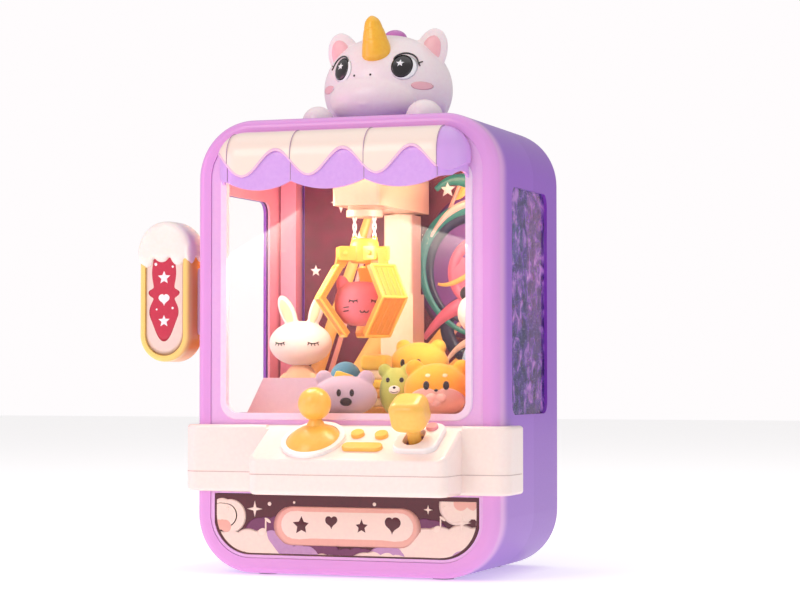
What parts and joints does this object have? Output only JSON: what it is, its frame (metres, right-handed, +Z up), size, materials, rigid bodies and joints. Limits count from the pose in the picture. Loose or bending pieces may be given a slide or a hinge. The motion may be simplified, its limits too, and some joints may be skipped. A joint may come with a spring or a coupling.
{
  "type": "claw crane machine",
  "caption": "Table-top claw crane toy with a windowed play cabinet, swinging crane arm, joystick console, side sign and unicorn topper.",
  "frame": {"origin": "on the ground, below the middle of the cabinet", "axes": "+Z up, -Y towards the player, +X to the player's right"},
  "size_m": [0.3065, 0.2155, 0.4288],
  "materials": {
    "shell_lilac": "glossy moulded ABS",
    "shell_violet": "glossy moulded ABS",
    "fascia_lilac": "glossy moulded ABS",
    "pale_trim": "glossy moulded ABS",
    "clear": "clear moulded polystyrene",
    "console_cream": "glossy moulded ABS",
    "white_trim": "glossy moulded ABS",
    "yellow_knob": "glossy moulded ABS",
    "button_pink": "glossy moulded ABS",
    "awning_lilac": "glossy moulded ABS",
    "icing_white": "glossy moulded ABS",
    "icing_cream": "glossy moulded ABS",
    "sign_orange": "glossy moulded ABS",
    "unicorn_pink": "satin moulded ABS",
    "horn_yellow": "glossy moulded ABS",
    "mane_magenta": "glossy moulded ABS",
    "liner_pink": "satin moulded polystyrene",
    "deck_cream": "satin moulded polystyrene",
    "guard_mauve": "satin moulded ABS",
    "crane_cream": "glossy moulded ABS",
    "claw_yellow": "glossy moulded ABS",
    "claw_orange": "glossy moulded ABS",
    "inner_black": "black moulded ABS",
    "board_green": "solder-masked circuit board",
    "steel": "zinc-plated steel",
    "rubber": "moulded rubber",
    "lamp_frost": "frosted polystyrene",
    "plush": "short plush pile",
    "printed_card": "printed card",
    "flap_maroon": "printed moulded ABS"
  },
  "bodies": {
    "cabinet": {"front_shell": "shell_lilac", "rear_shell": "shell_violet", "fascia": "fascia_lilac", "window_lip": "pale_trim", "window_pane": "clear", "side_panes": "clear", "inner_liner": "liner_pink", "rubber_feet": "rubber", "case_screws": "steel", "play_deck": "deck_cream", "chute_duct": "deck_cream", "chute_guard": "guard_mauve", "prize_tray": "deck_cream", "battery_box": "inner_black", "battery_cover": "shell_violet", "main_board": "board_green", "speaker": "inner_black", "ceiling_lamp": "lamp_frost", "console_top": "console_cream", "console_bottom": "console_cream", "dome_ring": "white_trim", "stick_bezel": "white_trim", "button_board": "board_green", "stick_mounts": "inner_black", "awning": "awning_lilac", "awning_icing": "icing_cream", "sign_body": "sign_orange", "sign_icing": "icing_white", "sign_bracket": "pale_trim", "unicorn_head": "unicorn_pink", "unicorn_horn": "horn_yellow", "unicorn_mane": "mane_magenta", "crane_post": "crane_cream", "swing_motor": "inner_black", "prize_bunny": "plush", "prize_bear": "plush", "prize_frog": "plush", "prize_dog": "plush", "prize_yellow_bear": "plush", "prize_panda": "plush", "prize_trinkets": "plush"},
    "left_gimbal": {"left_gimbal": "inner_black"},
    "left_stick": {"left_stick": "yellow_knob", "left_knob": "yellow_knob"},
    "right_stick": {"right_stick": "yellow_knob"},
    "round_button_left": {"round_button_left": "button_pink"},
    "round_button_right": {"round_button_right": "yellow_knob"},
    "bar_button": {"bar_button": "yellow_knob"},
    "lamp_button": {"lamp_button": "button_pink"},
    "prize_door": {"prize_door": "flap_maroon"},
    "rear_door": {"rear_door": "shell_violet", "back_card": "printed_card"},
    "crane_arm": {"crane_arm": "crane_cream"},
    "trolley": {"trolley": "crane_cream"},
    "winch_drum": {"winch_drum": "steel"},
    "claw": {"claw_hub": "claw_yellow", "prize_cat": "plush"},
    "finger_left": {"finger_left": "claw_orange"},
    "finger_right": {"finger_right": "claw_orange"},
    "finger_back": {"finger_back": "claw_orange"}
  },
  "joints": [
    {"name": "left_stick_pitch", "type": "hinge", "parent": "cabinet", "child": "left_gimbal", "pos_m": [-0.016, -0.09382, 0.08734], "axis": [1, 0, 0], "range_deg": [-6, 12], "stiffness_Nm_per_rad": 0.06},
    {"name": "left_stick_roll", "type": "hinge", "parent": "left_gimbal", "child": "left_stick", "pos_m": [-0.016, -0.09382, 0.08734], "axis": [0, 0.9893, 0.1461], "range_deg": [-12, 12], "stiffness_Nm_per_rad": 0.06},
    {"name": "right_stick_pitch", "type": "hinge", "parent": "cabinet", "child": "right_stick", "pos_m": [0.063, -0.09509, 0.09202], "axis": [1, 0, 0], "range_deg": [-12, 12], "stiffness_Nm_per_rad": 0.08},
    {"name": "round_button_left_press", "type": "slide", "parent": "cabinet", "child": "round_button_left", "axis": [0, 0.4924, -0.8704], "range_m": [0, 0.0015], "stiffness_N_per_m": 200},
    {"name": "round_button_right_press", "type": "slide", "parent": "cabinet", "child": "round_button_right", "axis": [0, 0.4924, -0.8704], "range_m": [0, 0.0015], "stiffness_N_per_m": 200},
    {"name": "bar_button_press", "type": "slide", "parent": "cabinet", "child": "bar_button", "axis": [0, 0.4924, -0.8704], "range_m": [0, 0.0015], "stiffness_N_per_m": 200},
    {"name": "lamp_button_press", "type": "slide", "parent": "cabinet", "child": "lamp_button", "axis": [0, 0.4924, -0.8704], "range_m": [0, 0.0015], "stiffness_N_per_m": 200},
    {"name": "prize_door_swing", "type": "hinge", "parent": "cabinet", "child": "prize_door", "pos_m": [0, -0.0765, 0.0595], "axis": [1, 0, 0], "range_deg": [0, 50]},
    {"name": "rear_door_swing", "type": "hinge", "parent": "cabinet", "child": "rear_door", "pos_m": [-0.098, 0.0848, 0.219], "axis": [0, 0, 1], "range_deg": [0, 100]},
    {"name": "arm_swing", "type": "hinge", "parent": "cabinet", "child": "crane_arm", "pos_m": [0, 0.048, 0.28], "axis": [0, 0, 1], "range_deg": [-42, 25]},
    {"name": "trolley_slide", "type": "slide", "parent": "crane_arm", "child": "trolley", "axis": [0, 1, 0], "range_m": [-0.0025, 0.02]},
    {"name": "hoist_slide", "type": "slide", "parent": "trolley", "child": "claw", "axis": [0, 0, 1], "range_m": [-0.012, 0.012]},
    {"name": "drum_spin", "type": "hinge", "parent": "trolley", "child": "winch_drum", "pos_m": [0, -0.0307, 0.291], "axis": [1, 0, 0], "range_deg": [-100, 130]},
    {"name": "finger_left_open", "type": "hinge", "parent": "claw", "child": "finger_left", "pos_m": [-0.01386, -0.046, 0.243], "axis": [-0.5, 0.866, 0], "range_deg": [0, 16]},
    {"name": "finger_right_open", "type": "hinge", "parent": "claw", "child": "finger_right", "pos_m": [0.01386, -0.046, 0.243], "axis": [-0.5, -0.866, 0], "range_deg": [0, 16]},
    {"name": "finger_back_open", "type": "hinge", "parent": "claw", "child": "finger_back", "pos_m": [0, -0.022, 0.243], "axis": [1, 0, 0], "range_deg": [0, 16]}
  ],
  "couplings": [
    {"joint": "drum_spin", "follows": "hoist_slide", "rad_per_m": -137},
    {"joint": "finger_right_open", "follows": "finger_left_open", "ratio": 1},
    {"joint": "finger_back_open", "follows": "finger_left_open", "ratio": 1}
  ]
}
